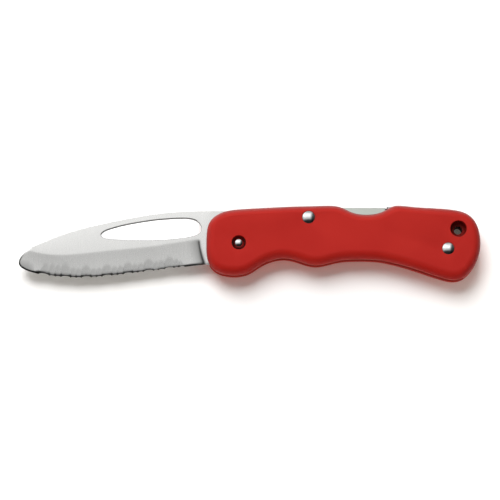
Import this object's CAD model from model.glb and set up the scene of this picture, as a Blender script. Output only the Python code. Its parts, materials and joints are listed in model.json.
"""A red folding knife with a serrated blade, lying open on a pale floor.

Shapes are drawn in millimetres about the blade's pivot, then set into the CAD frame (metres).
-X runs to the blade's tip, +X to the butt, +Y to the spine, and the front scale is on +Z.
"""
import json
import math
from collections import namedtuple

import bmesh
import bpy
import numpy as np
from mathutils import Matrix, Vector
from mathutils.geometry import delaunay_2d_cdt


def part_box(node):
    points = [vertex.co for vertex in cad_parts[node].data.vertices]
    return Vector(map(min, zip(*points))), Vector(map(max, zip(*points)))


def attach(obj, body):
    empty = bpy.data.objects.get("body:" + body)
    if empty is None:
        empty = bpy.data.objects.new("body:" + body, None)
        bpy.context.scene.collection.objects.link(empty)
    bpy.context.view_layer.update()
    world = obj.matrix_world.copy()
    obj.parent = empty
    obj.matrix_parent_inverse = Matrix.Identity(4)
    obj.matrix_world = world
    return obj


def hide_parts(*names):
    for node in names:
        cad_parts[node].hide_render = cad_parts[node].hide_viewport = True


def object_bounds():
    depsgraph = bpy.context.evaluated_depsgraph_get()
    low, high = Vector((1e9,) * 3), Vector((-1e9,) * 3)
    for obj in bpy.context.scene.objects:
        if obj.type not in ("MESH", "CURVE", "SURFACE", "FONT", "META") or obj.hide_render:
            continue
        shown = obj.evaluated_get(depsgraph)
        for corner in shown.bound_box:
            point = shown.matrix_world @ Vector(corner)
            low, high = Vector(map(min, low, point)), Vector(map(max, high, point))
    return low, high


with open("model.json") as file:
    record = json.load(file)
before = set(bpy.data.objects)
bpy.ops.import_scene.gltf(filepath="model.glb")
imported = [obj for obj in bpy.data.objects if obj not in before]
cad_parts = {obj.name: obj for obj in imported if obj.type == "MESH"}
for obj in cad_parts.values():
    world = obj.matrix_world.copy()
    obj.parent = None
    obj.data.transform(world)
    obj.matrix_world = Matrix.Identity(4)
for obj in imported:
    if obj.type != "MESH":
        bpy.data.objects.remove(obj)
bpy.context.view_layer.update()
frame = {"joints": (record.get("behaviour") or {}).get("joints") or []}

# ------------------------------------------------------------------ places and main sizes
JOINTS = {joint["name"]: np.array(joint["pos_m"]) for joint in frame["joints"]}
PIVOT = JOINTS["blade_fold"]
TO_FRAME = Matrix.Translation(Vector(PIVOT)) @ Matrix.Scale(0.001, 4)


def from_pivot(point):
    """A point of the CAD frame, as millimetres from the pivot."""
    return tuple((np.array(point) - PIVOT)[:2] * 1000)


PIVOT_PIN = (0, 0)
LOCK_PIN = from_pivot(JOINTS["lock_lever"])
SPRING_PIN = from_pivot(JOINTS["spring_flex"])
REAR_PIN = from_pivot([sum(ends) / 2 for ends in zip(*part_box("rear_rivet"))])
LANYARD = (92.75, 5.95)
DOWEL = (78.0, 11.4)

# distances from the knife's middle plane
SCALE_OUT = 6.4      # outer face of a scale
SCALE_IN = 1.5       # inner face of scales and liners
POCKET = 2.5         # floor of the pocket in a scale
LINER_OUT = 2.44     # outer face of a liner
BLADE_HALF = 1.25
BAR_HALF = 1.38      # lock bar and spacer
BUSH_HALF = 1.46

CLEARANCE = 0.06     # between a turned piece and its hole
DOWEL_FIT = 0.03     # the same, for pins pressed into the plates
SPRING_PIN_R = 0.8
DOWEL_R = 1.0
PIVOT_BUSH_R = 2.5
LOCK_BUSH_R = 2.0
PLATE_LANYARD_R = 2.1
TUBE_WALL = 0.7      # wall of a rivet socket's tube
SOCKET_DEPTH = 1.1   # of a socket's counterbore

# Radii of the shank, the two heads and the front counterbore; depth and rim rounding of that
# counterbore; the front head's rim below the scale's face and its crown above it.
Rivet = namedtuple("Rivet", "name at shank head back_head bore depth rounding rim crown")
RIVETS = [
    Rivet("pivot", PIVOT_PIN, 1.5, 2.40, 3.05, 3.05, 2.35, 0.14, 2.00, 0.20),
    Rivet("lock", LOCK_PIN, 1.5, 2.72, 2.72, 2.78, 0.60, 0.07, 0.16, 0.85),
    Rivet("rear", REAR_PIN, 1.0, 2.55, 2.55, 2.61, 0.60, 0.07, 0.10, 0.85),
]

# ------------------------------------------------------------------ outlines, (x, y)
HANDLE_OUTLINE = [
    (-13.75, 0.6), (-13.6, -4.6), (-12.8, -7.9), (-11.2, -10.4), (-9.0, -12.0), (-6.2, -12.95),
    (-3.0, -13.4), (0.2, -13.3), (3.2, -12.65), (5.6, -11.45), (7.9, -9.85), (10.3, -8.35),
    (13.1, -7.1), (16.0, -6.25), (19.0, -6.02), (22.0, -6.35), (25.0, -7.2), (27.8, -8.25),
    (30.4, -8.92), (32.6, -9.12), (34.9, -8.88), (37.6, -8.25), (40.6, -7.4), (44.0, -6.8),
    (48.5, -6.55), (54.0, -6.52), (59.5, -6.85), (65.0, -7.95), (70.5, -9.4), (76.0, -11.2),
    (81.0, -12.95), (85.5, -14.4), (88.6, -15.2), (91.2, -15.42), (93.8, -14.85), (95.9, -13.5),
    (98.0, -11.3), (99.9, -8.6), (101.25, -5.4), (102.05, -1.6), (102.15, 1.6), (101.75, 5.1),
    (100.65, 8.6), (98.8, 11.4), (96.2, 13.3), (92.9, 14.35), (88.1, 15.05), (82.0, 15.45),
    (75.5, 15.85), (70.5, 16.35), (66.6, 16.6), (64.4, 15.95), (62.5, 14.75), (60.8, 13.85),
    (58.3, 13.1), (55.6, 12.75), (52.6, 12.75), (49.8, 13.15), (47.0, 14.1), (44.3, 15.6),
    (41.4, 16.5), (38.0, 16.68), (30.0, 16.5), (22.4, 16.34), (15.0, 15.98), (7.2, 15.57),
    (1.0, 15.2), (-3.2, 14.8), (-6.4, 14.1), (-9.3, 12.75), (-11.55, 10.9), (-12.95, 8.6),
    (-13.58, 5.2)]
# blade's back, round the tip to the cutting edge
SPINE = [
    (-4.0, 14.72), (-9.0, 14.78), (-14.2, 14.72), (-20.5, 14.6), (-27.0, 14.25), (-35.7, 13.4),
    (-45.8, 11.7), (-55.9, 9.6), (-66.0, 7.15), (-74.0, 4.7), (-81.2, 1.85), (-86.3, -0.4),
    (-89.4, -2.15), (-91.6, -4.0), (-92.9, -6.0), (-93.2, -7.7), (-92.6, -9.0), (-91.2, -10.1),
    (-88.8, -11.2), (-85.0, -12.3)]
# line through the teeth's points, tip to heel
EDGE = [
    (-85.0, -12.35), (-80.2, -13.15), (-75.2, -13.7), (-70.0, -14.0), (-65.0, -14.0),
    (-58.0, -13.55), (-50.0, -12.7), (-40.0, -11.45), (-30.0, -10.15), (-22.5, -9.15),
    (-14.7, -8.25)]
# x of each tooth's point
CUSPS = [
    -22.95, -25.36, -27.46, -31.51, -34.03, -36.14, -40.35, -42.7, -44.98, -48.9, -51.3, -53.75,
    -57.87, -60.19, -62.46, -66.63, -68.8, -71.18, -75.23, -77.67, -80.24, -84.75]
# the long opening through the blade
OPENING = [
    (-58.5, 4.5), (-57.2, 5.9), (-53.4, 7.35), (-48.4, 8.7), (-40.8, 10.1), (-35.7, 10.85),
    (-30.7, 11.3), (-25.6, 11.6), (-21.2, 11.5), (-18.6, 10.85), (-16.7, 9.4), (-15.9, 7.3),
    (-16.5, 5.3), (-18.2, 4.25), (-21.5, 3.45), (-26.5, 2.75), (-33.0, 2.25), (-40.8, 2.05),
    (-48.0, 2.2), (-54.0, 2.5), (-57.4, 3.2)]
# top of the ground bevel, tip to heel
GRIND = [
    (-94.0, -0.6), (-91.0, -1.5), (-87.9, -2.5), (-82.0, -3.75), (-76.1, -4.2), (-71.0, -4.0),
    (-66.0, -3.55), (-58.0, -2.65), (-50.9, -1.9), (-43.0, -1.15), (-35.7, -0.3), (-30.7, 0.5),
    (-25.6, 1.3), (-20.5, 2.15), (-12.0, 3.6)]


# ------------------------------------------------------------------ curves
def resample(points, count, closed):
    if closed:
        points = np.vstack([points, points[:1]])
    along = np.r_[0, np.cumsum(np.linalg.norm(np.diff(points, axis=0), axis=1))]
    stations = np.linspace(0, along[-1], count + 1 if closed else count)
    even = np.stack([np.interp(stations, along, points[:, k]) for k in range(2)], 1)
    return even[:-1] if closed else even


def curve(points, count, closed):
    """Centripetal Catmull-Rom through the points, evenly resampled."""
    p = np.asarray(points, float)
    if closed:
        padded = np.vstack([p[-1:], p, p[:2]])
    else:
        padded = np.vstack([2 * p[0] - p[1], p, 2 * p[-1] - p[-2]])
    out = []
    u = np.linspace(0, 1, 24, endpoint=False)[:, None]
    for i in range(len(padded) - 3):
        a, b, c, d = padded[i:i + 4]
        dt = [max(np.linalg.norm(q - p0) ** 0.5, 1e-6) for p0, q in ((a, b), (b, c), (c, d))]
        t1 = ((b - a) / dt[0] - (c - a) / (dt[0] + dt[1]) + (c - b) / dt[1]) * dt[1]
        t2 = ((c - b) / dt[1] - (d - b) / (dt[1] + dt[2]) + (d - c) / dt[2]) * dt[1]
        out.append(b + t1 * u + (-3 * b + 3 * c - 2 * t1 - t2) * u ** 2
                   + (2 * b - 2 * c + t1 + t2) * u ** 3)
    out = np.vstack(out + ([] if closed else [p[-1:]]))
    return resample(out, count, closed)


def relax(p, rounds):
    for _ in range(rounds):
        p = 0.5 * p + 0.25 * (np.roll(p, 1, 0) + np.roll(p, -1, 0))
    return p


def left_of(steps):
    """Unit normals to the left of each step; these point into an anticlockwise outline."""
    steps = steps / np.linalg.norm(steps, axis=1)[:, None]
    return np.stack([-steps[:, 1], steps[:, 0]], 1)


def mitre(p, by):
    """An anticlockwise polygon moved inwards by exactly that much from each edge."""
    after = left_of(np.roll(p, -1, 0) - p)
    total = np.roll(after, 1, 0) + after
    stretch = 2.0 / np.maximum((total * total).sum(1), 0.6)
    return p + by * total * stretch[:, None]


def arc(centre, radius, start, end, steps):
    """Points on a circle from one angle to another, in degrees."""
    a = np.radians(np.linspace(start, end, steps + 1))
    return np.stack([centre[0] + radius * np.cos(a), centre[1] + radius * np.sin(a)], 1)


def densify(p, step):
    out = []
    for a, b in zip(p, np.roll(p, -1, 0)):
        count = max(1, int(np.ceil(np.linalg.norm(b - a) / step)))
        out += [a + (b - a) * i / count for i in range(count)]
    return np.array(out)


def area(p):
    x, y = p[:, 0], p[:, 1]
    return 0.5 * np.sum(x * np.roll(y, -1) - y * np.roll(x, -1))


def inside(polygon, points):
    """Which points are inside a polygon, by counting the edges crossed towards +X."""
    x, y = points[:, 0][:, None], points[:, 1][:, None]
    a, b = polygon, np.roll(polygon, -1, 0)
    spans = (a[:, 1] > y) != (b[:, 1] > y)
    rise = np.where(np.abs(b[:, 1] - a[:, 1]) < 1e-12, 1e-12, b[:, 1] - a[:, 1])
    crossing = a[:, 0] + (y - a[:, 1]) * (b[:, 0] - a[:, 0]) / rise
    return (np.sum(spans & (x < crossing), axis=1) % 2) == 1


def distance(line, points, closed=True):
    """Distance from each point to a polyline, worked out in batches to save memory."""
    a = line if closed else line[:-1]
    b = np.roll(line, -1, 0) if closed else line[1:]
    d = b - a
    length2 = np.maximum((d * d).sum(1), 1e-12)
    out = np.empty(len(points))
    for i in range(0, len(points), 2000):
        q = points[i:i + 2000][:, None]
        t = np.clip(((q - a) * d).sum(2) / length2, 0, 1)
        out[i:i + 2000] = np.sqrt((((a + t[..., None] * d) - q) ** 2).sum(2).min(1))
    return out


# ------------------------------------------------------------------ mesh helpers
def mesh_object(name, verts, faces):
    me = bpy.data.meshes.new(name)
    me.from_pydata([tuple(v) for v in verts], [], [tuple(int(i) for i in f) for f in faces])
    me.validate()
    bm = bmesh.new()
    bm.from_mesh(me)
    bmesh.ops.recalc_face_normals(bm, faces=bm.faces)
    bm.to_mesh(me)
    bm.free()
    o = bpy.data.objects.new(name, me)
    bpy.context.scene.collection.objects.link(o)
    return o


def loft(name, rings):
    """Quads between rings of equal length, with a cap on the first and the last."""
    n = len(rings[0])
    last = (len(rings) - 1) * n
    faces = []
    for a in range(0, last, n):
        b = a + n
        faces += [(a + i, a + (i + 1) % n, b + (i + 1) % n, b + i) for i in range(n)]
    faces.append(range(n - 1, -1, -1))
    faces.append(range(last, last + n))
    return mesh_object(name, np.vstack(rings), faces)


def at_z(p, z):
    return np.column_stack([p, np.zeros(len(p)) + z])


def plate(name, outline, z0, z1, r=0.0, steps=3):
    """A flat plate with its two outer edges rounded by r."""
    p = np.asarray(outline, float)
    if area(p) < 0:
        p = p[::-1]
    if r <= 0:
        return loft(name, [at_z(p, z0), at_z(p, z1)])
    turns = [k * math.pi / 2 / steps for k in range(steps + 1)]
    low = [at_z(mitre(p, r * (1 - math.sin(a))), z0 + r * (1 - math.cos(a))) for a in turns]
    high = [at_z(mitre(p, r * (1 - math.cos(a))), z1 - r * (1 - math.sin(a))) for a in turns]
    rim = mitre(p, r + 0.04)
    return loft(name, [at_z(rim, z0)] + low + high + [at_z(rim, z1)])


def lathe(name, at, profile, segments=96):
    """A piece turned about a line parallel to Z, from (radius, z) pairs."""
    verts, faces, rows = [], [], []
    for r, z in profile:
        if r < 1e-9:
            rows.append([len(verts)])
            verts.append((at[0], at[1], z))
        else:
            rows.append(list(range(len(verts), len(verts) + segments)))
            for k in range(segments):
                a = 2 * math.pi * k / segments
                verts.append((at[0] + r * math.cos(a), at[1] + r * math.sin(a), z))
    pairs = list(zip(rows[:-1], rows[1:]))
    if len(rows[0]) > 1 and len(rows[-1]) > 1:
        pairs.append((rows[-1], rows[0]))
    for a, b in pairs:
        for k in range(segments):
            j = (k + 1) % segments
            if len(a) == 1:
                faces.append((a[0], b[j], b[k]))
            elif len(b) == 1:
                faces.append((a[k], a[j], b[0]))
            else:
                faces.append((a[k], a[j], b[j], b[k]))
    return mesh_object(name, verts, faces)


def block(x0, x1, y0, y1, z0, z1):
    return plate("cut", [(x0, y0), (x1, y0), (x1, y1), (x0, y1)], z0, z1)


def boolean(o, cutter, operation="DIFFERENCE"):
    """Applies a boolean to o and deletes the cutter."""
    modifier = o.modifiers.new("b", "BOOLEAN")
    modifier.object = cutter
    modifier.operation = operation
    modifier.solver = "MANIFOLD"
    bpy.context.view_layer.update()
    depsgraph = bpy.context.evaluated_depsgraph_get()
    me = bpy.data.meshes.new_from_object(o.evaluated_get(depsgraph))
    o.modifiers.clear()
    old = o.data
    o.data = me
    me.name = o.name
    bpy.data.meshes.remove(old)
    cutter_mesh = cutter.data
    bpy.data.objects.remove(cutter)
    bpy.data.meshes.remove(cutter_mesh)


def drill(o, at, r, reach=5):
    """A round hole right through o."""
    profile = [(0, -reach), (r, -reach), (r, reach), (0, reach)]
    boolean(o, lathe("cut", at, profile, 72))


def finish(o, cad_node, look, body="handle", angle=28.0):
    """Sets the piece into the CAD frame, smooths it, and lets it stand for its CAD node."""
    slot, material = look
    o.data.transform(TO_FRAME)
    o.data.shade_smooth()
    o.data.set_sharp_from_angle(angle=math.radians(angle))
    o.data.materials.clear()
    o.data.materials.append(material)
    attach(o, body)
    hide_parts(cad_node)


# ------------------------------------------------------------------ shader helpers
def grey(level):
    return (level, level, level)


class Shader:
    """Adds nodes to one tree. A value may be a number, a tuple or another node's socket."""

    def __init__(self, tree):
        self.tree = tree

    def fill(self, node, values):
        for key, value in values.items():
            socket = node.inputs[key]
            if isinstance(value, bpy.types.NodeSocket):
                self.tree.links.new(value, socket)
            elif socket.type == "RGBA":
                socket.default_value = (*value, 1)
            else:
                socket.default_value = value

    def add(self, kind, values={}, **settings):
        node = self.tree.nodes.new("ShaderNode" + kind)
        for key, value in settings.items():
            setattr(node, key, value)
        self.fill(node, values)
        return node

    def coords(self, scale=(1, 1, 1), turn=0):
        """Object coordinates in millimetres, scaled and turned about Z."""
        here = self.add("TexCoord").outputs["Object"]
        return self.add("Mapping", {"Vector": here, "Scale": tuple(1000 * s for s in scale),
                                    "Rotation": (0, 0, turn)}).outputs["Vector"]

    def noise(self, vector, scale, detail, rough, distort=0.0):
        return self.add("TexNoise", {"Vector": vector, "Scale": scale, "Detail": detail,
                                     "Roughness": rough, "Distortion": distort}).outputs["Fac"]

    def mix(self, amount, base, other, mode="MIX"):
        return self.add("Mix", {0: amount, 6: base, 7: other},
                        data_type="RGBA", blend_type=mode).outputs[2]

    def tint(self, amount, base, colour):
        return self.mix(amount, base, self.mix(1.0, base, colour, "MULTIPLY"))

    def remap(self, value, over, to=(0, 1)):
        return self.add("MapRange", dict(enumerate((value, *over, *to)))).outputs[0]

    def math(self, operation, a, b=0.0):
        return self.add("Math", {0: a, 1: b}, operation=operation).outputs[0]

    def from_place(self, place):
        """Distance in plan from a place given from the pivot."""
        centre = (PIVOT[0] * 1000 + place[0], PIVOT[1] * 1000 + place[1], 0)
        return self.add("VectorMath", {0: self.coords((1, 1, 0)), 1: centre},
                        operation="DISTANCE").outputs["Value"]

    def bump(self, height, strength, depth, under=None):
        """Surface relief, with its depth in millimetres."""
        values = {"Strength": strength, "Distance": depth / 1000, "Height": height}
        if under is not None:
            values["Normal"] = under
        return self.add("Bump", values).outputs["Normal"]

    def lookup(self, value, stops):
        """Brightness read from a table, for a value from -1 to 1."""
        ramp = self.add("ValToRGB", {0: self.remap(value, over=(-1.0, 1.0))})
        elements = ramp.color_ramp.elements
        while len(elements) > 1:
            elements.remove(elements[0])
        elements[0].position = stops[0][0]
        elements[0].color = (*grey(stops[0][1]), 1)
        for position, level in stops[1:]:
            elements.new(position).color = (*grey(level), 1)
        return ramp.outputs[0]


def new_material(name):
    material = bpy.data.materials.new(name)
    material.use_nodes = True
    return material, Shader(material.node_tree), material.node_tree.nodes["Principled BSDF"]


# ------------------------------------------------------------------ materials
# What faces each way: normal's axis, where the effect starts and is full, and its tint.
# In order: towards -Y, towards +Y, almost straight +Y, towards +X.
RED_FACING = [
    (1, -0.15, -0.75, (1.30, 0.88, 0.72)),
    (1, 0.25, 0.75, (0.73, 1.04, 1.15)),
    (1, 0.72, 0.97, (0.56, 0.82, 1.05)),
    (0, 0.3, 0.9, (0.80, 0.85, 0.9)),
]
# place, radius and strength of the grime in the lanyard hole and the pivot's recess
GRIME = [(LANYARD, 3.62, 0.72), (PIVOT_PIN, 3.12, 0.93)]


def red_polymer():
    material, sh, surface = new_material("red_moulded_polymer")
    mm = sh.coords()
    cloud = sh.noise(mm, scale=0.05, detail=3, rough=0.5)
    grain = sh.noise(mm, scale=3.2, detail=2, rough=0.6)
    fine = sh.noise(mm, scale=7.5, detail=2, rough=0.5)
    scuff = sh.noise(sh.coords((0.25, 1.6, 1.6), turn=0.35),
                     scale=1.3, detail=5, rough=0.7, distort=0.3)
    base = sh.mix(sh.remap(cloud, over=(0.35, 0.65)),
                  (0.335, 0.0120, 0.0088), (0.360, 0.0145, 0.0102))
    base = sh.mix(sh.remap(fine, over=(0.35, 0.7), to=(0.0, 0.14)), base, (0.265, 0.0085, 0.006))
    # paler corners and scuffs
    geometry = sh.add("NewGeometry").outputs
    corner = sh.remap(geometry["Pointiness"], over=(0.505, 0.56), to=(0.0, 0.25))
    base = sh.mix(corner, base, (0.42, 0.022, 0.015))
    wear = sh.remap(scuff, over=(0.66, 0.78), to=(0.0, 0.35))
    base = sh.mix(wear, base, (0.38, 0.018, 0.013))
    # sides towards -Y are deeper and less glossy, those towards +Y greyer and glossier
    normal = sh.add("SeparateXYZ", {0: geometry["Normal"]}).outputs
    facing = []
    for axis, start, full, colour in RED_FACING:
        facing.append(sh.remap(normal[axis], over=(start, full)))
        base = sh.tint(facing[-1], base, colour)
    # rubbed, paler edges along the blade slot
    height = sh.add("SeparateXYZ", {0: mm}).outputs[2]
    off_middle = sh.math("ABSOLUTE", sh.math("SUBTRACT", height, PIVOT[2] * 1000))
    rub = sh.math("MULTIPLY", sh.remap(off_middle, over=(2.3, 3.4), to=(1.0, 0.0)),
                  sh.remap(normal[1], over=(0.3, -0.1)))
    base = sh.mix(rub, base, (0.50, 0.050, 0.036))
    for place, radius, dirt in GRIME:
        near = sh.remap(sh.from_place(place), over=(radius - 0.3, radius), to=(dirt, 0.0))
        base = sh.mix(near, base, (0.024, 0.0022, 0.0020))
    roughness = sh.remap(grain, over=(0.3, 0.7), to=(0.42, 0.56))
    gloss = sh.math("ADD", sh.remap(facing[0], over=(0, 1), to=(0.22, 0.09)),
                    sh.remap(facing[1], over=(0, 1), to=(0.0, 0.20)))
    # the handle warms the floor and the shadow beside it, but not its own lanyard hole
    glow = sh.math("MULTIPLY", sh.add("LightPath").outputs["Is Diffuse Ray"],
                   sh.remap(sh.from_place(LANYARD), over=(4.5, 6.5), to=(0.0, 0.215)))
    relief = sh.bump(grain, strength=0.20, depth=0.06)
    sh.fill(surface, {
        "Base Color": base,
        "Roughness": sh.math("SUBTRACT", roughness, sh.math("MULTIPLY", wear, 0.2)),
        "Specular IOR Level": gloss,
        "Subsurface Weight": 0.06,
        "Subsurface Radius": (1.0, 0.25, 0.15),
        "Subsurface Scale": 0.0008,
        "Emission Color": (1.0, 0.15, 0.075),
        "Emission Strength": glow,
        "Normal": sh.bump(fine, strength=0.12, depth=0.03, under=relief)})
    return material


def steel(name, tint, rough, lines, strength, stain=0.08, contrast=0.22, ground=False,
          dark_to=None):
    """Steel with fine lines. Ground steel darkens by the mesh's "dull" attribute; dark_to
    blackens it on the -X side of that x."""
    material, sh, surface = new_material(name)
    mm = sh.coords()
    streak = sh.noise(sh.coords(lines), scale=1.0, detail=4, rough=0.65)
    cloud = sh.noise(mm, scale=0.12, detail=4, rough=0.6)
    spots = sh.noise(mm, scale=1.1, detail=3, rough=0.6, distort=0.4)

    def darker(by):
        return tuple(c * by for c in tint)

    base = sh.mix(sh.remap(cloud, over=(0.35, 0.7)), tint, darker(1 - stain))
    base = sh.mix(sh.remap(streak, over=(0.42, 0.62), to=(0.0, contrast)), base, darker(0.86))
    base = sh.mix(sh.remap(spots, over=(0.68, 0.76), to=(0.0, 0.25)), base, darker(0.72))
    roughness = sh.remap(streak, over=(0.3, 0.7), to=(rough - 0.05, rough + 0.07))

    def dirty(mask, colour, rougher):
        return (sh.mix(mask, base, colour),
                sh.math("ADD", roughness, sh.math("MULTIPLY", mask, rougher)))

    if ground:
        dull = sh.add("Attribute", attribute_name="dull").outputs["Fac"]
        coarse = sh.noise(mm, scale=2.4, detail=3, rough=0.6)
        mottle = sh.mix(sh.remap(coarse, over=(0.4, 0.65)), grey(0.022), grey(0.06))
        base, roughness = dirty(dull, mottle, rougher=0.22)
    if dark_to is not None:
        along = sh.add("SeparateXYZ", {0: mm}).outputs[0]
        end = PIVOT[0] * 1000 + dark_to
        black = sh.remap(along, over=(end - 0.06, end + 0.06), to=(1.0, 0.0))
        base, roughness = dirty(black, grey(0.02), rougher=0.3)
    sh.fill(surface, {"Metallic": 1.0, "Base Color": base, "Roughness": roughness,
                      "Normal": sh.bump(streak, strength, depth=0.02)})
    return material


def chrome():
    material, sh, surface = new_material("polished_rivet")
    haze = sh.noise(sh.coords(), scale=0.9, detail=4, rough=0.6)
    scratches = sh.noise(sh.coords((6, 0.6, 1), turn=0.7), scale=1.6, detail=5, rough=0.7)
    sh.fill(surface, {
        "Metallic": 1.0,
        "Base Color": sh.mix(sh.remap(haze, over=(0.4, 0.7)),
                             (0.83, 0.84, 0.85), (0.72, 0.73, 0.74)),
        "Roughness": sh.remap(haze, over=(0.3, 0.75), to=(0.07, 0.16)),
        "Normal": sh.bump(scratches, strength=0.06, depth=0.01)})
    return material


def bronze():
    material, sh, surface = new_material("turned_bronze")
    patina = sh.noise(sh.coords(), scale=1.4, detail=4, rough=0.6)
    turning = sh.noise(sh.coords((1, 1, 14)), scale=1.2, detail=3, rough=0.6)
    sh.fill(surface, {
        "Metallic": 1.0,
        "Base Color": sh.mix(sh.remap(patina, over=(0.35, 0.7)),
                             (0.60, 0.42, 0.20), (0.38, 0.25, 0.12)),
        "Roughness": sh.remap(turning, over=(0.3, 0.7), to=(0.28, 0.42)),
        "Normal": sh.bump(turning, strength=0.15, depth=0.02)})
    return material


# looks: the slot's name and its material
LINER_LOOK = dict(tint=(0.50, 0.51, 0.51), rough=0.38, lines=(0.3, 6.0, 6.0), strength=0.15)
RED = ("red_polymer", red_polymer())
BLADE_STEEL = ("blade_steel", steel(
    "satin_blade_steel", tint=(0.74, 0.745, 0.74), rough=0.27, lines=(9.0, 0.28, 1.0),
    strength=0.035, stain=0.03, contrast=0.05, ground=True))
BAR_STEEL = ("bar_steel", steel(
    "lock_bar_steel", tint=(0.60, 0.64, 0.60), rough=0.34, lines=(0.3, 7.0, 7.0), strength=0.18))
LINER_STEEL = ("liner_steel", steel("liner_steel", **LINER_LOOK))
SPACER_STEEL = ("liner_steel", steel("spacer_steel", **LINER_LOOK, dark_to=63.15))
SPRING_STEEL = ("spring_steel", steel(
    "spring_steel", tint=(0.36, 0.38, 0.40), rough=0.32, lines=(0.3, 6.0, 6.0), strength=0.12,
    stain=0.2))
CHROME = ("rivet_chrome", chrome())
BRONZE = ("bush_bronze", bronze())

# ------------------------------------------------------------------ scales
FILLET = 3.5           # rounding of the outer edge
FILLET_EXTRA = 1.04    # how much further down it reaches in the blade's half of the handle
LIP = 0.34             # rounding of the inner edge
BUTT_WALL = (94.6, 0.6)  # corner of the wall that closes the slot at the butt
MOUTH_ROUND = 0.33     # rounding of the lanyard hole's mouth
LANYARD_MOUTH_R = 3.42
# the steep funnel of the lanyard hole: radius, distance from the middle plane
LANYARD_FUNNEL = [
    (0, -0.5), (1.75, -0.5), (1.75, SCALE_IN + 1.15), (1.85, SCALE_IN + 1.28), (2.35, 3.02),
    (2.75, 3.35), (3.05, 3.85), (3.25, 4.5), (3.36, 5.2)]

handle_line = relax(curve(HANDLE_OUTLINE, 620, True), 14)
inward = relax(left_of(np.roll(handle_line, -2, 0) - np.roll(handle_line, 2, 0)), 3)
inward /= np.linalg.norm(inward, axis=1)[:, None]


def inset(by):
    return handle_line + inward * by


def scale_shell(s):
    """The solid scale, on the +Z side for s = 1 and the -Z side for s = -1."""
    rings = [at_z(inset(LIP + 0.06), s * SCALE_IN)]
    for k in range(8):
        a = k / 7 * math.pi / 2
        rings.append(at_z(inset(LIP * (1 - math.sin(a))),
                          s * (SCALE_IN + LIP * (1 - math.cos(a)))))
    down = FILLET + FILLET_EXTRA * np.clip((72 - handle_line[:, 0]) / 40, 0, 1)
    steps = 16
    for k in range(steps + 1):
        a = k / steps * math.pi / 2
        rings.append(at_z(inset(FILLET * (1 - math.cos(a))),
                          s * (SCALE_OUT - down + down * math.sin(a))))
    rings.append(at_z(inset(FILLET + 0.06), s * SCALE_OUT))
    return loft("front_scale_shell" if s > 0 else "back_scale_shell", rings)


def butt_wall(s):
    wall_x, wall_y = BUTT_WALL
    edge = inset(0.02)
    edge = edge[(edge[:, 0] > wall_x) & (edge[:, 1] < wall_y)]
    edge = edge[np.argsort(np.arctan2(edge[:, 1] + 5, edge[:, 0] - 90))]
    outline = np.vstack([edge, [(edge[-1][0] - 0.01, wall_y), BUTT_WALL]])
    return plate("wall", outline, *sorted((s * 0.04, s * 2.36)))


def pocket_cutter(s):
    """The pocket for the liner, left solid at the butt's wall."""
    cut = plate("cut", relax(inset(2.15)[::2], 2), *sorted((s * (SCALE_IN - 0.6), s * POCKET)))
    boolean(cut, block(94.35, 120, -30, 0.85, *sorted((s * -1, s * SCALE_IN))))
    return cut


def bore(o, s, at, profile, radius, rounding, steps):
    """A turned hole in a scale that ends in a mouth with a rounded rim."""
    for k in range(steps + 1):
        a = k / steps * math.pi / 2
        profile = profile + [(radius + rounding * (1 - math.cos(a)),
                              SCALE_OUT - rounding + rounding * math.sin(a))]
    profile = profile + [(radius + rounding, SCALE_OUT + 2), (0, SCALE_OUT + 2)]
    boolean(o, lathe("cut", at, [(r, s * z) for r, z in profile]))


def scale_piece(s):
    o = scale_shell(s)
    boolean(o, butt_wall(s), "UNION")
    boolean(o, pocket_cutter(s))
    for rivet in RIVETS:
        if s > 0:
            hole, radius = rivet.shank + CLEARANCE, rivet.bore
            depth, rounding = rivet.depth, rivet.rounding
        else:
            hole, radius = rivet.shank + TUBE_WALL + CLEARANCE, rivet.back_head + 0.10
            depth, rounding = SOCKET_DEPTH, 0.10
        floor_z = SCALE_OUT - depth
        bore(o, s, rivet.at, [(0, 0.2), (hole, 0.2), (hole, floor_z), (radius, floor_z)],
             radius, rounding, 5)
    bore(o, s, LANYARD, LANYARD_FUNNEL, LANYARD_MOUTH_R, MOUTH_ROUND, 8)
    finish(o, "front_scale" if s > 0 else "back_scale", RED, angle=32)


scale_piece(1)
scale_piece(-1)


# ------------------------------------------------------------------ liners
def liner(s):
    side = "front" if s > 0 else "back"
    z0, z1 = sorted((s * SCALE_IN, s * LINER_OUT))
    o = plate(side + "_liner_plate", relax(inset(2.4)[::2], 2), z0, z1, 0.12, 2)
    extra = 0.0 if s > 0 else TUBE_WALL
    holes = [(rivet.at, rivet.shank + CLEARANCE + extra) for rivet in RIVETS]
    holes += [(SPRING_PIN, SPRING_PIN_R + DOWEL_FIT), (DOWEL, DOWEL_R + DOWEL_FIT),
              (LANYARD, PLATE_LANYARD_R)]
    for at, r in holes:
        drill(o, at, r, 9)
    boolean(o, block(94.2, 120, -30, 1.0, -9, 9))
    finish(o, side + "_liner", LINER_STEEL)


liner(1)
liner(-1)

# ------------------------------------------------------------------ blade: its lines
TANG_R = 8.5
STOP_X, STOP_Y = 1.95, 7.35   # notch for the lock bar, where it meets the tang's round
BLADE_BORE = PIVOT_BUSH_R + CLEARANCE
CORNER = 0.16                 # width of the softened corners
GRIND_DEPTH = 0.985           # taken off each side by the bevel
HEEL_X = -15.0                # where the cutting edge ends

spine = curve(SPINE, 300, False)
edge_line = curve(EDGE, 500, False)
grind_line = curve(GRIND, 300, False)
cusps = np.array(sorted(CUSPS))


def edge_y(x):
    return np.interp(x, edge_line[:, 0], edge_line[:, 1])


def grind_y(x):
    return np.interp(x, grind_line[:, 0], grind_line[:, 1])


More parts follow.
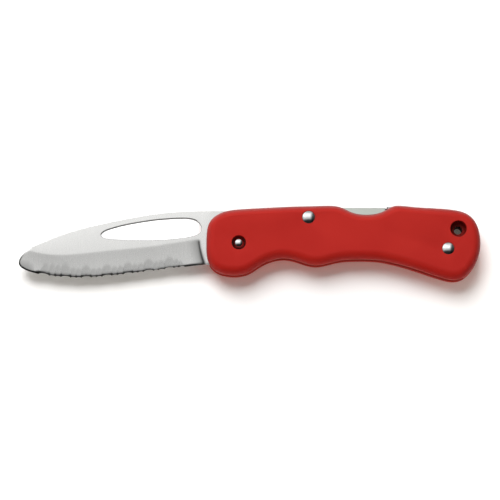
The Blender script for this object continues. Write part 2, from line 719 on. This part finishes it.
def plunge_x(y):
    """The end of the grind, a shallow arc on the tip's side of the handle."""
    return -16.55 + 2.35 * np.clip((3.0 - y) / 11.2, 0, 1.1) ** 1.6


def scallop(depth, width, u):
    """A half ellipse between two cusps; u runs from -1 to 1."""
    return depth * width * np.sqrt(np.maximum(0, 1 - u * u))


def cutting_edge():
    parts = []
    for a, b in zip(cusps[:-1], cusps[1:]):
        width = b - a
        count = 18 if width > 3.3 else 12
        x = a + width * (0.5 - 0.5 * np.cos(np.pi * np.arange(count) / count))
        u = 2 * (x - a) / width - 1
        parts.append(np.stack([x, edge_y(x) + scallop(0.17, width, u)], 1))
    x = np.linspace(cusps[-1], HEEL_X, 22)
    return np.vstack(parts + [np.stack([x, edge_y(x)], 1)])


def tang():
    def polar(radius, degrees):
        a = math.radians(degrees)
        return radius * math.cos(a), radius * math.sin(a)

    top = math.degrees(math.atan2(math.sqrt(TANG_R ** 2 - STOP_X ** 2), STOP_X))
    return np.vstack([
        [(-14.6, -8.15), (-13.4, -8.4), (-8.0, -8.6), (-2.2, -8.6),
         polar(TANG_R, -99), polar(7.5, -96), polar(7.5, -60)],
        arc(PIVOT_PIN, TANG_R, -56, top, 60),
        [(STOP_X, STOP_Y), (-3.0, STOP_Y), (-3.0, 14.05), (-3.25, 14.5), (-3.6, 14.68)]])


teeth = cutting_edge()
outer = np.vstack([spine, teeth, tang()])
outer = outer[np.r_[True, np.linalg.norm(np.diff(outer, axis=0), axis=1) > 0.02]]
opening = relax(curve(OPENING, 260, True), 3)[::-1]   # turned to run anticlockwise


# ------------------------------------------------------------------ blade: its flat sheet
def on_blade(points):
    return points[inside(outer, points) & ~inside(opening, points)]


def sheet_points():
    """Inner points, dense along the edge, the grind's borders and the tip's rim."""
    # a coarse staggered grid away from the edge
    xs, ys = np.arange(-93, 9, 0.9), np.arange(-15, 15, 0.8)
    grid_x, grid_y = np.meshgrid(xs, ys)
    grid_x = grid_x + (np.arange(len(ys)) % 2)[:, None] * 0.9 / 2
    coarse = np.stack([grid_x.ravel(), grid_y.ravel()], 1)
    coarse = coarse[(coarse[:, 0] > -14) | (coarse[:, 1] > edge_y(coarse[:, 0]) + 5.6)]
    # columns that rise from the edge
    rise = np.r_[0.10, 0.28, 0.5, 0.75, 1.05, 1.4, 1.8, 2.25, 2.75, 3.3, 3.9, 4.5, 5.1]
    fine = [np.stack([np.full(len(rise), x), edge_y(x) + rise], 1)
            for x in np.arange(-86.5, -15.4, 0.2)]
    # lines along the top and the end of the grind
    x = np.linspace(-92.6, -16.2, 330)
    lines = [np.stack([x, grind_y(x) + o], 1) for o in (-0.42, -0.14, 0.14, 0.42)]
    y = np.linspace(-8.6, 4.6, 60)
    lines += [np.stack([plunge_x(y) + o, y], 1)
              for o in (-1.5, -1.2, -0.95, -0.75, -0.55, -0.35, -0.15, 0.05, 0.25, 0.5)]
    at_tip = outer[:, 0] < -85.0
    tip_rings = [mitre(outer, d)[at_tip] for d in (0.09, 0.2, 0.32, 0.46, 0.62, 0.8)]
    points = on_blade(np.vstack([coarse] + fine + lines + tip_rings))
    points = points[(distance(outer, points) > 0.09) & (distance(opening, points) > 0.45)
                    & (np.hypot(points[:, 0], points[:, 1]) > 2.9)]
    # thin out points that crowd each other
    cell = np.round(points / 0.11).astype(int)
    first = np.unique(cell, axis=0, return_index=True)[1]
    points = points[np.sort(first)]
    # a ring just inside the rim, for its softened corner
    has_corner = (outer[:, 0] < -3.3) & (outer[:, 1] > edge_y(outer[:, 0]) + 1.2)
    ring = mitre(outer, CORNER)[has_corner & ~at_tip]
    return np.vstack([ring[inside(outer, ring)], points])


def triangulate():
    loops = [outer, opening, arc(PIVOT_PIN, BLADE_BORE, 0, 360, 72)[:-1],
             mitre(opening, -CORNER), mitre(opening, -CORNER * 2.2),
             arc(PIVOT_PIN, BLADE_BORE + CORNER, 0, 360, 72)[:-1]]
    edges, start = [], 0
    for loop in loops:
        n = len(loop)
        edges.extend((start + i, start + (i + 1) % n) for i in range(n))
        start += n
    points = [Vector((float(x), float(y))) for x, y in np.vstack(loops + [sheet_points()])]
    verts, _, faces = delaunay_2d_cdt(points, edges, [], 0, 1e-5)[:3]
    verts, faces = np.array([(v.x, v.y) for v in verts]), np.array(faces)
    middle = verts[faces].mean(1)
    faces = faces[inside(outer, middle) & ~inside(opening, middle)
                  & (np.hypot(middle[:, 0], middle[:, 1]) > BLADE_BORE - 0.005)]
    used, renumbered = np.unique(faces, return_inverse=True)
    return verts[used], renumbered.reshape(faces.shape)


sheet, triangles = triangulate()
x, y = sheet[:, 0], sheet[:, 1]

# ------------------------------------------------------------------ blade: its thickness
d_rim = distance(outer, sheet)
d_opening = distance(opening, sheet)
d_bore = np.abs(np.hypot(x, y) - BLADE_BORE)
d_teeth = distance(teeth, sheet, closed=False)
tip_line = spine[(spine[:, 0] < -88.2) | ((spine[:, 0] < -84.5) & (spine[:, 1] < -8))]
d_tip = distance(tip_line, sheet, closed=False)

# how far down the bevel each point is: 0 at its top, 1 at its foot
bevel_top = grind_y(x)
bevel_foot = np.where(x < -86, -12.2, np.minimum(edge_y(x), -8.0))
bevel = np.clip((bevel_top - y) / (bevel_top - bevel_foot), 0, 1.25)

# 1 on the bevel, 0 on the tang: a long shallow sweep, then the steep plunge
plunge = plunge_x(y)
sweep = np.clip((x - plunge + 5.6) / 5.2, 0, 1) ** 2
plunge_width = 0.24 + 0.10 * np.clip((-1.0 - y) / 6.0, 0, 1)
past_plunge = 1 / (1 + np.exp((x - (plunge - 0.50)) / plunge_width))
ground = (1 - 0.24 * sweep) * past_plunge
eased = np.where(bevel < 0.05, bevel * bevel / 0.10, bevel - 0.025)
hollow = 0.06 * np.sin(np.clip(bevel, 0, 1) * np.pi)
body_half = BLADE_HALF - np.clip(GRIND_DEPTH * eased + hollow, 0, 1.1) * ground

# the flats are a little crowned, lower towards the spine
spine_by_x = spine[::-1]
spine_by_x = spine_by_x[np.argsort(spine_by_x[:, 0])]
flat_span = np.maximum(np.interp(x, spine_by_x[:, 0], spine_by_x[:, 1]) - bevel_top, 4.0)
up_flat = np.clip((y - bevel_top) / flat_span, 0, 1)
body_half = body_half - 0.020 * flat_span * up_flat ** 2 * np.clip((-11.5 - x) / 4.0, 0, 1)

# the scallop each point belongs to, its place u across it and its height above the edge
which = np.clip(np.searchsorted(cusps, x) - 1, 0, len(cusps) - 2)
left, right = cusps[which], cusps[which + 1]
u = np.clip(2 * (x - left) / (right - left) - 1, -1, 1)
toothed = (x > cusps[0]) & (x < cusps[-1])
above = y - edge_y(x) - np.where(toothed, scallop(0.17, right - left, u), 0.0)
zone = (np.clip((x - cusps[0] + 0.3) / 0.8, 0, 1)
        * np.clip((cusps[-1] + 0.3 - x) / 0.8, 0, 1))

# height of the steep cutting face: uneven, low in the scallops, taller at the teeth
uneven = 0.72 + 0.66 * np.random.RandomState(4).rand(len(cusps))
uneven = np.interp(x, 0.5 * (cusps[:-1] + cusps[1:]), uneven[:-1])
face_height = np.interp(x, [-86, -80, -60, -45, -30, -20, -15],
                        [0.75, 1.10, 1.25, 0.95, 0.75, 0.60, 0.42])
face_height = face_height * (0.48 + 0.52 * u ** 4) * uneven
by_edge = (x < -14.9) & (x > -87.5)


def half_thickness(front):
    """Distance of one face from the middle plane at each point of the sheet."""
    t = body_half
    back_edge = 0.24     # how far the cutting edge lies towards -Z
    cutting = by_edge & (above < 5.5)
    if front:
        # shallow scallops ground from the front, then the short steep face down to the edge
        fan = (BLADE_HALF - GRIND_DEPTH - 0.17 - scallop(0.012, right - left, u)
               + 0.150 * above)
        fade = (np.clip((x - cusps[0] + 0.3) / 7.0, 0, 1)
                * np.clip((cusps[-1] + 0.3 - x) / 4.0, 0, 1))
        t = np.where(cutting & (zone > 0), np.minimum(t, fan + (1 - fade) ** 2 * 0.30), t)
        lift = 0.06 * np.cos(u * np.pi * 0.5) * zone
        steep = 0.04 - back_edge + (0.52 / face_height) * above + lift
        t = np.where(cutting, np.minimum(t, steep), t)
    else:
        t = np.where(cutting & (d_teeth < 0.5), np.minimum(t, back_edge + 0.30 * d_teeth), t)
    # rounded rim of the blunt tip, 0.78 wide
    q = np.clip(1 - d_tip / 0.78, 0, 1)
    t = t - 0.80 * (1 - np.sqrt(np.maximum(0, 1 - q * q))) * (1 if front else 0.6)
    for d in (d_opening, d_bore):
        t = np.where(d < CORNER, t - (CORNER - d) * 0.9, t)
    has_corner = (y > bevel_foot + 4) | (x > -14.7)
    return np.where(has_corner & (d_rim < CORNER) & (d_tip > 0.8), t - (CORNER - d_rim) * 0.9, t)


# ------------------------------------------------------------------ blade: its dull parts
def smooth_step(value, start, end):
    q = np.clip((value - start) / (end - start), 0, 1)
    return q * q * (3 - 2 * q)


def dullness():
    """How dull the front and the back are at each point, from 0 to 1."""
    rim = smooth_step(d_tip, 1.0, 0.45) * smooth_step(y, -2.0, -6.0)
    face = smooth_step(above / face_height, 1.15, 0.85) * (0.66 + 0.30 * u ** 2)
    beside = (0.36 * smooth_step(above - face_height, 1.0, -0.1)
              * np.interp(x, [-86, -80, -45, -20], [0.5, 1.0, 0.85, 0.6]))
    face = np.maximum(face, beside) * by_edge * (above < 5)
    slope = 4 * past_plunge * (1 - past_plunge) * smooth_step(bevel, 0.02, 0.14)
    heel = (0.50 * np.clip((x - plunge + 6.0) / 5.6, 0, 1) ** 1.4 * past_plunge
            * smooth_step(bevel, -0.01, 0.10))
    upper_side = (y > 4.5 + 0.08 * (x + 57.0)) & (x < -17.5)
    wall = 0.85 * ((d_opening < 0.02) | ((d_opening < 0.2) & upper_side))
    front = 1 - ((1 - wall) * (1 - 0.93 * rim) * (1 - 0.95 * face) * (1 - 0.90 * slope)
                 * (1 - heel))
    back = 1 - (1 - 0.93 * rim) * (1 - 0.90 * slope) * (1 - heel)
    return front, back


def blade():
    front, back = half_thickness(True), half_thickness(False)
    least = 0.10         # keep a little metal everywhere
    front = np.where(front + back < least, least - back, front)
    n = len(sheet)
    verts = np.vstack([np.column_stack([sheet, front]), np.column_stack([sheet, -back])])
    # edges with a triangle on one side only get a wall
    edges = np.vstack([triangles[:, pair] for pair in ([0, 1], [1, 2], [2, 0])])
    _, which_edge, count = np.unique(np.sort(edges, axis=1), axis=0, return_inverse=True,
                                     return_counts=True)
    border = edges[count[which_edge.ravel()] == 1]
    faces = [tuple(f) for f in triangles]
    faces += [(c + n, b + n, a + n) for a, b, c in triangles]
    faces += [(b, a, a + n, b + n) for a, b in border]
    o = mesh_object("blade_steel", verts, faces)
    dull = o.data.attributes.new("dull", "FLOAT", "POINT")
    dull.data.foreach_set("value", np.concatenate(dullness()).astype(np.float32))
    finish(o, "blade", BLADE_STEEL, body="blade", angle=22)


blade()

# ------------------------------------------------------------------ lock bar, spring, spacer
BAR = np.vstack([
    [(-2.6, 9.0), (-2.4, 8.75), (1.6, 8.75), (1.95, 9.9), (8.0, 9.6), (17.0, 8.9), (23.5, 8.3)],
    arc(LOCK_PIN, 3.7, 218, 322, 24),
    [(35.0, 9.2), (44.0, 9.9), (54.0, 10.7), (58.0, 10.85), (62.0, 11.1), (62.45, 11.5),
     (62.45, 15.2), (62.38, 15.75), (62.15, 16.0), (61.3, 16.08), (56.0, 16.1), (50.0, 16.12),
     (43.0, 16.15), (37.0, 16.1), (28.0, 15.95), (18.0, 15.65), (8.0, 15.1), (1.0, 14.75),
     (-2.1, 14.5), (-2.5, 14.3), (-2.6, 13.9)]])
BAR_END_BEVEL = [(62.0, 1.42), (62.6, 0.75), (62.8, 1.9), (62.0, 1.9)]   # (x, z)
SPRING = np.vstack([
    arc(SPRING_PIN, 1.75, -150, 165, 44),
    curve([(66.0, 9.95), (60.0, 10.2), (56.0, 10.45), (54.5, 10.6), (53.2, 10.5), (50.9, 9.95)],
          26, False),
    [(50.6, 9.7), (50.6, 9.2), (50.8, 9.0)],
    curve([(53.5, 9.4), (60.0, 9.15), (66.0, 8.85)], 16, False)])
SPACER = np.array([
    (62.8, 12.7), (68.0, 12.3), (72.4, 12.0), (73.2, 11.2), (73.2, 7.0), (75.0, 6.2),
    (83.4, 4.2), (85.2, 2.2), (86.2, -1.4), (86.9, -2.8), (88.0, -3.95), (90.2, -4.3),
    (93.0, -4.3), (94.0, -3.4), (94.0, 1.1), (98.6, 1.3), (99.0, 3.5), (98.4, 7.0),
    (97.0, 9.8), (94.8, 11.6), (91.8, 12.9), (87.6, 13.9), (81.6, 14.4), (75.0, 14.9),
    (70.4, 15.9), (66.6, 16.45), (64.3, 16.55), (63.1, 16.5), (62.8, 16.2)])


def lock_bar():
    o = plate("lock_bar_lever", densify(BAR, 1.5), -BAR_HALF, BAR_HALF, 0.22, 4)
    drill(o, LOCK_PIN, LOCK_BUSH_R + CLEARANCE)
    prism = [(x, y, z) for y in (10.0, 17.5) for x, z in BAR_END_BEVEL]
    sides = [(i, (i + 1) % 4, (i + 1) % 4 + 4, i + 4) for i in range(4)]
    boolean(o, mesh_object("cut", prism, [(3, 2, 1, 0), (4, 5, 6, 7)] + sides))
    # halved over the spacer's tongue
    boolean(o, block(61.1, 64.0, 10.0, 17.0, -2.0, 0.05))
    finish(o, "lock_bar", BAR_STEEL, body="lock_bar")


def lock_spring():
    o = plate("lock_spring_leaf", SPRING, -BAR_HALF + 0.1, BAR_HALF - 0.1, 0.12, 3)
    drill(o, SPRING_PIN, SPRING_PIN_R + CLEARANCE)
    finish(o, "lock_spring", SPRING_STEEL, body="lock_spring")


def back_spacer():
    o = plate("back_spacer_plate", densify(SPACER, 1.2), -BAR_HALF, BAR_HALF, 0.18, 3)
    # the tongue under the lock bar's end
    boolean(o, block(61.5, 63.2, 12.9, 15.9, -BAR_HALF, -0.05), "UNION")
    drill(o, REAR_PIN, RIVETS[2].shank + CLEARANCE)
    drill(o, LANYARD, PLATE_LANYARD_R)
    drill(o, DOWEL, DOWEL_R + DOWEL_FIT)
    finish(o, "back_spacer", SPACER_STEEL)


lock_bar()
lock_spring()
back_spacer()


# ------------------------------------------------------------------ rivets, bushes, washers, pins
def dome(r, rim, crown):
    """A domed head's profile from its small rolled lip to the crown."""
    steps, lip = 14, 0.12
    out = [(r - lip * 0.3, rim - lip), (r, rim - lip * 0.4), (r, rim)]
    sphere = (r * r + (crown - rim) ** 2) / (2 * (crown - rim))
    centre = crown - sphere
    widest = math.asin(min(1.0, r / sphere))
    for k in range(1, steps):
        a = widest * (1 - k / steps)
        out.append((sphere * math.sin(a), centre + sphere * math.cos(a)))
    return out + [(0.0, crown)]


def rivet_front(rivet):
    end = -SCALE_OUT + 1.5
    seat = SCALE_OUT - (rivet.depth - 0.04)
    shank, head = rivet.shank, rivet.head
    profile = [(0, end), (shank - 0.15, end), (shank, end + 0.2), (shank, seat),
               (head - 0.05, seat)]
    profile += dome(head, SCALE_OUT - rivet.rim, SCALE_OUT + rivet.crown)
    finish(lathe(rivet.name + "_rivet_head", rivet.at, profile), rivet.name + "_rivet", CHROME)


def rivet_socket(rivet):
    seat = -SCALE_OUT + SOCKET_DEPTH - 0.02
    tube, tube_end = rivet.shank + TUBE_WALL, -1.62
    head = dome(rivet.back_head, SCALE_OUT - 0.7, SCALE_OUT - 0.12)
    profile = [(r, -z) for r, z in head[::-1]]
    profile += [(rivet.back_head - 0.05, seat), (tube, seat), (tube, tube_end),
                (rivet.shank + 0.03, tube_end), (rivet.shank + 0.03, -5.0), (0, -5.0)]
    finish(lathe(rivet.name + "_rivet_back", rivet.at, profile), rivet.name + "_rivet_socket",
           CHROME)


def ring(name, at, cad_node, r0, r1, z0, z1):
    """A bronze ring with chamfered corners."""
    c = min(0.08, (z1 - z0) / 4)
    profile = [(r0, z0 + c), (r0 + c, z0), (r1 - c, z0), (r1, z0 + c),
               (r1, z1 - c), (r1 - c, z1), (r0 + c, z1), (r0, z1 - c)]
    finish(lathe(name, at, profile), cad_node, BRONZE)


def pin(name, at, cad_node, r):
    profile = [(0, -2.3), (r - 0.15, -2.3), (r, -2.15), (r, 2.15), (r - 0.15, 2.3), (0, 2.3)]
    finish(lathe(name, at, profile, 72), cad_node, LINER_STEEL)


for each in RIVETS:
    rivet_front(each)
for each in RIVETS:
    rivet_socket(each)
BUSH_IN = RIVETS[0].shank + 0.04
WASHER_IN, WASHER_R = BLADE_BORE, 6.0
ring("pivot_bush_ring", PIVOT_PIN, "pivot_bush", BUSH_IN, PIVOT_BUSH_R, -BUSH_HALF, BUSH_HALF)
ring("front_washer", PIVOT_PIN, "front_pivot_washer", WASHER_IN, WASHER_R, 1.31, 1.44)
ring("back_washer", PIVOT_PIN, "back_pivot_washer", WASHER_IN, WASHER_R, -1.44, -1.31)
ring("lock_bush_ring", LOCK_PIN, "lock_bush", BUSH_IN, LOCK_BUSH_R, -BUSH_HALF, BUSH_HALF)
pin("spring_anchor_pin", SPRING_PIN, "spring_pin", SPRING_PIN_R)
pin("spacer_locating_dowel", DOWEL, "spacer_dowel", DOWEL_R)

# ------------------------------------------------------------------ floor (metres from here on)
# ellipse of light that falls through the blade's opening: centre and half sizes
POOL_X, POOL_Y = PIVOT[0] - 0.0385, PIVOT[1] + 0.0068
POOL_HALF_X, POOL_HALF_Y = 0.030, 0.0090


def pale_floor():
    material, sh, surface = new_material("pale_floor")
    here = sh.add("TexCoord").outputs["Object"]
    in_pool = sh.add("Mapping", {
        "Vector": here,
        "Location": (-POOL_X / POOL_HALF_X, -POOL_Y / POOL_HALF_Y, 0),
        "Scale": (1 / POOL_HALF_X, 1 / POOL_HALF_Y, 0)}).outputs["Vector"]
    radius = sh.add("VectorMath", {0: in_pool}, operation="LENGTH").outputs["Value"]
    pool = sh.remap(radius, over=(0.72, 1.0), to=(0.5, 0.0))
    # the shadows under the blade and the butt are lighter than under the handle's middle
    along = sh.add("SeparateXYZ", {0: here}).outputs[0]
    lift = sh.math(
        "ADD",
        sh.remap(along, over=(PIVOT[0] - 0.012, PIVOT[0] - 0.030), to=(0.0, 0.065)),
        sh.remap(along, over=(PIVOT[0] + 0.074, PIVOT[0] + 0.092), to=(0.0, 0.070)))
    seen = sh.add("LightPath").outputs["Is Camera Ray"]
    sh.fill(surface, {
        "Base Color": grey(0.95),
        "Roughness": 0.9,
        "Specular IOR Level": 0.1,
        "Emission Color": sh.mix(sh.remap(pool, over=(0.0, 0.1)), (1.0, 0.90, 0.76), grey(1)),
        "Emission Strength": sh.math("MULTIPLY", seen, sh.math("ADD", pool, lift))})
    # seen from below, the floor is clear
    below = sh.math("MULTIPLY", sh.add("NewGeometry").outputs["Backfacing"], seen)
    pick = sh.add("MixShader", {0: below, 1: surface.outputs[0],
                                2: sh.add("BsdfTransparent").outputs[0]})
    sh.fill(material.node_tree.nodes["Material Output"], {"Surface": pick.outputs[0]})
    return material


floor = mesh_object("floor", [(-4, -4, 0), (4, -4, 0), (4, 4, 0), (-4, 4, 0)], [(0, 1, 2, 3)])
floor.location.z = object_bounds()[0].z - 0.00002
floor.data.materials.append(pale_floor())

# ------------------------------------------------------------------ light, world, camera
CAMERA_RISE = math.radians(78.0)     # camera's angle above the floor
VIEW_WIDTH = 0.2106                  # width seen at the knife
VIEW_CENTRE = Vector((PIVOT[0] + 0.00472, PIVOT[1] - 0.00332, 0.0128))
AMBIENT = 0.295                      # soft light on matt surfaces
# what shiny surfaces see: (place from 0 to 1, brightness), from the near side to the far side
SKY = [
    (0.0, 0.012), (0.22, 0.02), (0.295, 0.09), (0.39, 0.34), (0.446, 0.56), (0.50, 0.73),
    (0.60, 0.94), (0.64, 1.22), (0.70, 1.42), (0.80, 1.35), (0.91, 1.05), (0.96, 0.6), (1.0, 0.4)]
# and from left to right, as a factor
SIDE = [
    (0.0, 0.45), (0.045, 0.7), (0.08, 1.0), (0.30, 1.08), (0.45, 1.0), (0.60, 1.0),
    (0.70, 0.75), (0.735, 0.5), (0.80, 0.2), (0.84, 0.08), (1.0, 0.03)]


def key_light():
    light = bpy.data.lights.new("key", "AREA")
    light.shape = "RECTANGLE"
    light.size, light.size_y = 0.85, 0.80
    light.energy = 18.1
    o = bpy.data.objects.new("key", light)
    bpy.context.scene.collection.objects.link(o)
    place = Vector((-0.22, 0.64, 0.86))
    o.location = place
    o.rotation_euler = (-place).to_track_quat("-Z", "Y").to_euler()
    o.visible_glossy = False


def studio():
    """A bright bank over the far side for shiny surfaces, and soft light for the rest.

    The bank is set up from the camera, so it turns with the view.
    """
    world = bpy.data.worlds.new("studio")
    bpy.context.scene.world = world
    world.use_nodes = True
    sh = Shader(world.node_tree)
    ray = sh.add("TexCoord").outputs["Generated"]
    across = sh.add("SeparateXYZ", {0: ray}).outputs[1]
    turned = sh.add("VectorTransform", {0: ray}, vector_type="VECTOR", convert_from="WORLD",
                    convert_to="CAMERA").outputs[0]
    seen = sh.add("SeparateXYZ", {0: turned}).outputs
    far = sh.math("ADD", sh.math("MULTIPLY", seen[1], math.sin(CAMERA_RISE)),
                  sh.math("MULTIPLY", seen[2], math.cos(CAMERA_RISE)))
    bank = sh.math("MULTIPLY", sh.lookup(far, SKY), sh.lookup(seen[0], SIDE))
    glossy = sh.add("LightPath").outputs["Is Glossy Ray"]
    soft = sh.remap(across, over=(-1.0, 1.0), to=(AMBIENT * 1.35, AMBIENT * 0.65))
    soft = sh.math("MULTIPLY", sh.math("SUBTRACT", 1.0, glossy), soft)
    sh.fill(world.node_tree.nodes["Background"], {
        "Strength": sh.math("ADD", soft, sh.math("MULTIPLY", bank, glossy)),
        "Color": sh.mix(glossy, (1.0, 0.955, 0.885), (1.0, 0.992, 0.98))})


def camera():
    lens = bpy.data.cameras.new("camera")
    o = bpy.data.objects.new("camera", lens)
    bpy.context.scene.collection.objects.link(o)
    lens.sensor_width = 36
    lens.lens = 180
    lens.clip_start, lens.clip_end = 0.05, 20
    away = VIEW_WIDTH * lens.lens / 36
    o.location = VIEW_CENTRE + Vector((0, -math.cos(CAMERA_RISE), math.sin(CAMERA_RISE))) * away
    o.rotation_euler = (VIEW_CENTRE - o.location).to_track_quat("-Z", "Y").to_euler()
    bpy.context.scene.camera = o


key_light()
studio()
camera()
bpy.context.scene.view_settings.view_transform = "Standard"
bpy.context.scene.view_settings.look = "None"
